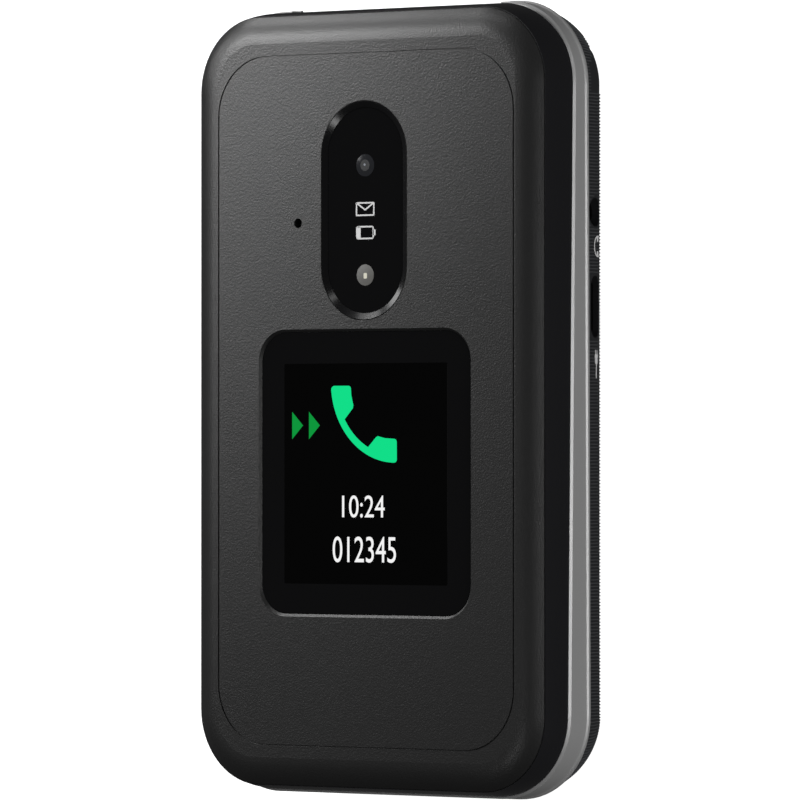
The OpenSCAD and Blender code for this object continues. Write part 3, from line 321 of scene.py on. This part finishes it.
# %% Ribs
RIB_PITCH, RIB_W, RIB_PROUD, RIB_SUNK = 0.43, 0.2, 0.13, 0.1
RIB_TOP_GAP = 0.32
RIB_STEPS = 12
RIB_END_ANGLE = math.radians(62)
# What the ribs keep clear: a radius round the jack, and half lengths and heights of the slots.
SIDE_START = 20.0
JACK_CLEAR, USB_CLEAR, ROCKER_CLEAR = 2.15, (4.3, 1.6), (7.5, 2.0)
# The hinge: where the end begins, the radius and rise of its drum, and half the barrel's length.
END_START, DRUM_OUTLINE_R, DRUM_RISE, BARREL_HALF = 40.0, 10.9, 3.15, 17.7


def keeps_rib(p, height):
    """False where a socket, the rocker or the hinge takes the place of the rib."""
    x, y = p.x, p.y
    if y > END_START:
        reach = max(0.0, abs(x) - (CASE_W / 2 - CORNER_R))
        end = CASE_L / 2 - CORNER_R - HINGE_Y + math.sqrt(max(0.0, DRUM_OUTLINE_R**2 - reach**2))
        drum = math.hypot(max(0.0, end), DRUM_RISE)
        if math.hypot(y - HINGE_Y, height - HINGE_H) > drum - 0.05 and height < HINGE_H - 1.5:
            return False
        if abs(x) < BARREL_HALF:
            return False
    if x > SIDE_START and math.hypot(y - JACK_Y, height - SOCKET_H) < JACK_CLEAR:
        return False
    if x > SIDE_START and abs(y - USB_Y) < USB_CLEAR[0] and abs(height - SOCKET_H) < USB_CLEAR[1]:
        return False
    beside = abs(y - ROCKER_Y) < ROCKER_CLEAR[0] and abs(height - SOCKET_H) < ROCKER_CLEAR[1]
    return not (x < -SIDE_START and beside)


bm = bmesh.new()
length = outline_length(HOUSING_INSET)
count = round(length / RIB_PITCH)
for i in range(count):
    p0, out = outline_place(length * i / count, HOUSING_INSET)
    along = Vector((-out.y, out.x, 0))
    top = BAND_H + p0.y * math.tan(BAND_TILT) - RIB_TOP_GAP
    path = []
    for k in range(RIB_STEPS + 1):
        if k == 0:
            height, depth, lean = top, 0.0, 0.0
        else:
            lean = RIB_END_ANGLE * (k - 1) / (RIB_STEPS - 1)
            height = BACK_EDGE_R * (1 - math.sin(lean))
            depth = BACK_EDGE_R * (1 - math.cos(lean))
        if height > top:
            continue
        path.append((p0 - out * depth, height, lean, k))
    row = None
    for p, height, lean, k in path:
        if not keeps_rib(p, height):
            row = None
            continue
        normal = out * math.cos(lean) + Vector((0, 0, -math.sin(lean)))
        proud = RIB_PROUD * min(1.0, (RIB_STEPS - k) / 4)
        base = Vector((p.x, p.y, height))
        points = [
            base - along * RIB_W / 2 - normal * RIB_SUNK,
            base - along * RIB_W / 4 + normal * proud,
            base + along * RIB_W / 4 + normal * proud,
            base + along * RIB_W / 2 - normal * RIB_SUNK,
        ]
        new = [bm.verts.new(q * MM) for q in points]
        if row:
            for a in range(4):
                b = (a + 1) % 4
                bm.faces.new((row[a], row[b], new[b], new[a]))
        else:
            bm.faces.new(new)
        row = new
bmesh.ops.holes_fill(bm, edges=[e for e in bm.edges if e.is_boundary], sides=4)
bmesh.ops.recalc_face_normals(bm, faces=bm.faces)
# The ribs' lighter colour is a painted highlight against the darker valleys of the housing.
ribs = new_object("side_ribs", bm, rib_highlight_abs, smooth=False)
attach(ribs, "base")
print("ribs:", count)

# %% [markdown]
# ## Prints and symbols
# Small signs are flat shapes, a few hundredths of a millimetre proud of what carries them. Each is
# built from strips, discs and polygons, in millimetres.


# %% Helpers for flat signs
def strip(points, width, closed=False):
    """A line of the given width as polygons, one for each stretch, with round joints."""
    shapes = []
    ring = points + points[:1] if closed else points
    for (x0, y0), (x1, y1) in zip(ring, ring[1:]):
        d = Vector((x1 - x0, y1 - y0)).normalized() * width / 2
        shapes.append([(x0 + d.y, y0 - d.x), (x1 + d.y, y1 - d.x), (x1 - d.y, y1 + d.x),
                       (x0 - d.y, y0 + d.x)])
    for x, y in points:
        shapes.append(disc(x, y, width / 2, 12))
    return shapes


def disc(x, y, r, sides=32):
    return [(x + r * math.cos(2 * math.pi * i / sides), y + r * math.sin(2 * math.pi * i / sides))
            for i in range(sides)]


def arc(x, y, r, start, end, steps=16):
    angles = [math.radians(start + (end - start) * i / steps) for i in range(steps + 1)]
    return [(x + r * math.cos(a), y + r * math.sin(a)) for a in angles]


def sign(name, shapes, place, material, body, thick=0.03):
    """Polygons in the sign's own plane, given some thickness, put in place by a 4x4 matrix in mm."""
    bm = bmesh.new()
    for n, shape in enumerate(shapes):
        lift = thick * (1 + 0.02 * (n % 5))
        low = [bm.verts.new(place @ Vector((x, y, 0)) * MM) for x, y in shape]
        high = [bm.verts.new(place @ Vector((x, y, lift)) * MM) for x, y in shape]
        bm.faces.new(high)
        bm.faces.new(low[::-1])
        for i in range(len(shape)):
            j = (i + 1) % len(shape)
            bm.faces.new((low[i], low[j], high[j], high[i]))
    bmesh.ops.recalc_face_normals(bm, faces=bm.faces)
    made = new_object(name, bm, material, smooth=False)
    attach(made, body)
    return made


def text_sign(name, words, place, height, material, body, width=None):
    """Plain digits as a mesh. Height, and width if given, are what the digits measure in mm."""
    data = bpy.data.curves.new(name, "FONT")
    data.body = words
    data.extrude = 0.5
    source = bpy.data.objects.new(name + "_source", data)
    bpy.context.scene.collection.objects.link(source)
    mesh = bpy.data.meshes.new_from_object(source.evaluated_get(bpy.context.evaluated_depsgraph_get()))
    bpy.data.objects.remove(source)
    low = [min(v.co[i] for v in mesh.vertices) for i in range(3)]
    high = [max(v.co[i] for v in mesh.vertices) for i in range(3)]
    scale = height / (high[1] - low[1])
    scale_x = width / (high[0] - low[0]) if width else scale
    middle = [(a + b) / 2 for a, b in zip(low, high)]
    for v in mesh.vertices:
        lift = 0.03 if v.co.z > middle[2] else 0.0
        flat = Vector(((v.co.x - middle[0]) * scale_x, (v.co.y - middle[1]) * scale, lift))
        v.co = place @ flat * MM
    made = new_object(name, mesh, material, smooth=False)
    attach(made, body)
    return made


def rounded(w, h, r, x=0.0, y=0.0):
    """A rectangle with rounded corners, centred at x, y."""
    line = []
    for turn, (sx, sy) in enumerate(((1, 1), (-1, 1), (-1, -1), (1, -1))):
        line += arc(x + sx * (w / 2 - r), y + sy * (h / 2 - r), r, 90 * turn, 90 * turn + 90, 6)
    return line


def flat_at(x, y, z):
    return Matrix.Translation((x, y, z))


# %% The screen's picture
# The cell is the blackest part of the window. The handset is one closed line: an arc for its back,
# a shorter one inside it, and a rounded block at each end.
screen = flat_at(0, 0, WINDOW_TOP)


def handset(scale=1.0, turned=0.0):
    """A telephone handset, 10.9 by 10.1 mm at scale 1, about its own middle."""
    line = (
        arc(-5.05, 1.33, 0.57, 180, 90, 6) + arc(-2.75, 1.5, 0.4, 90, 0, 6)
        + [(-2.28, 0.6), (-1.95, -0.65), (-2.02, -1.05)]
        + arc(4.88, 2.33, 9.57, 210.3, 242.6, 12)
        + [(1.8, -4.85), (2.1, -4.72), (3.2, -4.98)]
        + arc(4.75, -5.5, 0.43, 90, 0, 6) + arc(4.75, -7.75, 0.45, 0, -90, 6)
        + arc(4.88, 2.33, 10.53, 268.5, 185.7, 24)
    )
    c, t = math.cos(math.radians(turned)), math.sin(math.radians(turned))
    middle = [(x + 0.22, y + 3.15) for x, y in line]
    return [(scale * (c * x - t * y), scale * (t * x + c * y)) for x, y in middle]


sign("screen_cell", [rounded(26.8, 29.0, 0.2, 0, -9.66)], screen, cell_black, "lid", 0.012)
shown = [(x - 0.22, y - 3.15) for x, y in handset()]
sign("screen_handset", [shown], screen, lit_green, "lid")
for i, x in enumerate((-12.1, -9.3)):
    arrow = [(x, -1.5), (x + 1.8, -3.3), (x, -5.1)]
    sign(f"screen_arrow_{i + 1}", [arrow], screen, lit_dark_green, "lid")
text_sign("screen_line_1", "10:24", flat_at(-0.3, -13.95, WINDOW_TOP), 2.9, lit_white, "lid", 7.0)
text_sign("screen_line_2", "012345", flat_at(-0.15, -19.6, WINDOW_TOP), 3.4, lit_white, "lid", 10.4)

# %% Signs on the camera window
SIGN_LINE = 0.2
MAIL_Y, BATTERY_Y = 25.06, 21.97
mail_w, mail_h = 2.85, 1.62
corners = [(-mail_w / 2, -mail_h / 2), (mail_w / 2, -mail_h / 2), (mail_w / 2, mail_h / 2),
           (-mail_w / 2, mail_h / 2)]
flap = [(-mail_w / 2, mail_h / 2), (0, -0.1), (mail_w / 2, mail_h / 2)]
envelope = strip(corners, SIGN_LINE, True) + strip(flap, SIGN_LINE)
sign("mail_sign", envelope, flat_at(0, MAIL_Y, WINDOW_TOP), ink, "lid")
cell = rounded(2.7, 1.55, 0.25, -0.13)
filled = [rounded(0.7, 1.6, 0.2, -1.2), rounded(0.4, 0.8, 0.12, 1.4)]
battery = strip(cell, SIGN_LINE, True) + filled
sign("battery_sign", battery, flat_at(0.1, BATTERY_Y, WINDOW_TOP), ink, "lid")

# %% Inside the lens and the flash
# The dark ring and pupil of the camera, a painted highlight on the lens up and to the left of its middle,
# and the small square diode behind the diffuser.
LENS_Y, FLASH_Y = 30.8, 16.4
LENS_RISE = 0.055
on_lens = flat_at(0, LENS_Y, WINDOW_TOP + LENS_RISE)
on_flash = flat_at(0, FLASH_Y, WINDOW_TOP + LENS_RISE)
sign("lens_iris", [disc(0, 0, 0.75)], on_lens, iris_black, "lid", 0.01)
# A painted highlight on the lens, up and to the left of its middle.
sign("lens_glint", [disc(-0.05, 0.08, 0.16, 16)], on_lens, lens_highlight_paint, "lid", 0.02)
sign("flash_diode", [rounded(0.55, 0.75, 0.15, 0.05, -0.1)], on_flash, diode, "lid", 0.01)

# %% Signs beside the sockets
# They lie on the curved side: across them, the sign's x runs towards the back of the phone.
SIDE_LEAN = math.asin((BACK_EDGE_R - SOCKET_H) / BACK_EDGE_R)
side_x = CASE_W / 2 - HOUSING_INSET - BACK_EDGE_R * (1 - math.cos(SIDE_LEAN))


def on_side(y):
    down = Vector((-math.sin(SIDE_LEAN), 0, -math.cos(SIDE_LEAN)))
    out = Vector((math.cos(SIDE_LEAN), 0, -math.sin(SIDE_LEAN)))
    turned = Matrix((down, Vector((0, 1, 0)), out)).transposed().to_4x4()
    return Matrix.Translation(Vector((side_x, y, SOCKET_H)) + out * (RIB_PROUD - 0.02)) @ turned


pads = [rounded(0.5, 0.7, 0.15, 0.5, y) for y in (-0.95, 0.95)]
headset = strip(arc(0.6, 0, 1.3, 80, 280, 12), 0.24) + pads
sign("headset_sign", headset, on_side(19.95), ink, "base")
prongs = [rounded(0.22, 0.7, 0.1, x, 1.45) for x in (-0.28, 0.28)]
plug = [rounded(1.1, 0.5, 0.1, 0, 0.95), rounded(0.9, 0.9, 0.35, 0, 0.35)]
sign("plug_sign", prongs + plug + strip([(0, 0.1), (0, -1.8)], 0.26), on_side(4.7), ink, "base")

# %% Key legends
# Plain digits and pictograms, printed on the key tops, which slope with the parting plane.
KEY_TOP = -0.2
on_seam = Matrix.Translation((0, 0, SEAM_H)) @ Matrix.Rotation(-SEAM_TILT, 4, "X")


def key_place(name, x=0.0, y=0.0):
    low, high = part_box(name)
    return on_seam @ flat_at((low[0] + high[0]) / 2 / MM + x, (low[1] + high[1]) / 2 / MM + y, KEY_TOP)


for key in "1234567890":
    text_sign(f"legend_{key}", key, key_place(f"key_{key}"), 4.0, ink, f"key_{key}_body")
rays = [strip([(0, 0), (1.4 * math.cos(a), 1.4 * math.sin(a))], 0.5)
        for a in (math.pi / 2 + k * 2 * math.pi / 5 for k in range(5))]
sign("legend_star", sum(rays, []), key_place("key_star"), ink, "key_star_body")
bars = [strip([(-1.5, y), (1.5, y)], 0.42) for y in (-0.65, 0.65)]
posts = [strip([(x - 0.25, -1.8), (x + 0.25, 1.8)], 0.42) for x in (-0.65, 0.65)]
sign("legend_hash", sum(bars + posts, []), key_place("key_hash"), ink, "key_hash_body")
sign("legend_call", [handset(0.36)], key_place("call_key"), ink, "call_key_body")
sign("legend_end", [handset(0.36, 135)], key_place("end_key"), ink, "end_key_body")
for side in ("left", "right"):
    dash = [rounded(4.4, 0.7, 0.34)]
    sign(f"legend_{side}", dash, key_place(f"soft_key_{side}"), ink, f"soft_key_{side}_body")
letter = strip([(-2.1, -1.4), (2.1, -1.4), (2.1, 1.4), (-2.1, 1.4)], 0.4, True)
letter += strip([(-2.1, 1.4), (0, -0.3), (2.1, 1.4)], 0.4)
sign("legend_message", letter, key_place("message_key"), ink, "message_key_body")
eye_ring = strip(arc(0, -0.15, 0.95, 0, 345, 20), 0.35, True)
case_line = strip(rounded(4.6, 3.0, 0.5), 0.36, True)
sign("legend_camera", case_line + eye_ring + [rounded(1.2, 0.5, 0.1, 0, 1.75)],
     key_place("camera_key"), ink, "camera_key_body")
arrows = []
for k in range(4):
    a = math.pi / 2 * k
    tips = ((9.2, 0), (7.9, 1.1), (7.9, -1.1))
    arrows.append([(x * math.cos(a) - y * math.sin(a), x * math.sin(a) + y * math.cos(a)) for x, y in tips])
sign("legend_ring", arrows, key_place("nav_ring"), dark_ink, "nav_ring_body")
sign("legend_ok", strip(arc(0, 0, 1.9, 0, 348, 28), 0.4, True), key_place("ok_key"), ink, "ok_key_body")

# %% The main screen
# It looks down when the phone is closed, so its sign's y runs towards the front end.
low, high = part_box("main_display_window")
inner_face = on_seam @ flat_at(0, (low[1] + high[1]) / 2 / MM, 0.27) @ Matrix.Rotation(math.pi, 4, "X")
sign("main_cell", [rounded(43.0, 58.0, 0.3)], inner_face, lit_blue, "lid", 0.012)
text_sign("main_time", "10:24", inner_face @ flat_at(0, 15, 0), 8.5, lit_white, "lid")
text_sign("main_digits", "012345", inner_face @ flat_at(0, 3, 0), 4.2, lit_white, "lid")
sign("main_bar", [rounded(36.0, 0.5, 0.2, 0, -20)], inner_face, lit_white, "lid")

# %% [markdown]
# ## Light and floor
# The floor is a lit white table, as in a catalogue picture: it glows evenly, and takes a little of
# the light as well. It is kept out of the reflections, where it would wash out the polished sides.
# Four softboxes stand at the upper left, where the crowned lid mirrors them in part, and give it
# its gradient. The four behind it light the rolled edge at the hinge end. Two low ones and a strip
# at the right shape the silver band and the ribs, and two weak ones put a glint on the bezel. The
# surroundings are dim.

# %% Floor, lights and surroundings
bm = bmesh.new()
bmesh.ops.create_grid(bm, x_segments=1, y_segments=1, size=1.5)
floor_white, tree, shader = finish("lit_table", "#c8c8c8", Roughness=0.9, IOR=1.4)
shader.inputs["Emission Color"].default_value = (1, 1, 1, 1)
shader.inputs["Emission Strength"].default_value = 0.95
floor = new_object("floor", bm, floor_white, smooth=False)
floor.location.z = -0.0002
floor.visible_glossy = False
floor.visible_diffuse = False


def softbox(name, place, towards, size, power, colour="#ffffff"):
    data = bpy.data.lights.new(name, "AREA")
    data.shape = "RECTANGLE"
    data.size, data.size_y = size[0] * MM, size[1] * MM
    data.energy = power
    data.color = linear(colour)[:3]
    light = bpy.data.objects.new(name, data)
    bpy.context.scene.collection.objects.link(light)
    light.location = Vector(place) * MM
    light.rotation_mode = "QUATERNION"
    light.rotation_quaternion = (Vector(towards) - Vector(place)).to_track_quat("-Z", "Y")
    return light


for name, place, size, power in (
    ("upper_left", (-421, 240, 373), (120, 120), 1.4),
    ("upper_left_high", (-360, 254, 426), (120, 120), 0.65),
    ("left", (-490, 73, 357), (120, 120), 0.27),
    ("left_high", (-422, 155, 416), (120, 120), 0.25),
    ("low_behind", (-377, 450, 125), (150, 150), 0.8),
    ("mid_behind", (-371, 398, 254), (300, 300), 0.45),
    ("low_left_behind", (-544, 220, 125), (150, 150), 0.3),
    ("behind", (-132, 491, 318), (150, 150), 0.29),
    ("low_right_front", (560, -160, 125), (200, 200), 1.45),
    ("low_right_behind", (508, 293, 125), (200, 200), 0.58),
    ("right_strip", (480, 0, 380), (50, 500), 0.4),
    ("bezel_glint", (-37, -232, 552), (90, 90), 0.15),
    ("bezel_glint_low", (-55, 257, 539), (50, 50), 0.03),
):
    softbox(name, place, (0, 0, 10), size, power)

world = bpy.data.worlds.new("studio")
world.use_nodes = True
world.node_tree.nodes["Background"].inputs["Color"].default_value = linear("#ffffff")
world.node_tree.nodes["Background"].inputs["Strength"].default_value = 0.039
bpy.context.scene.world = world
bpy.context.scene.view_settings.view_transform = "Standard"
bpy.context.scene.view_settings.look = "None"
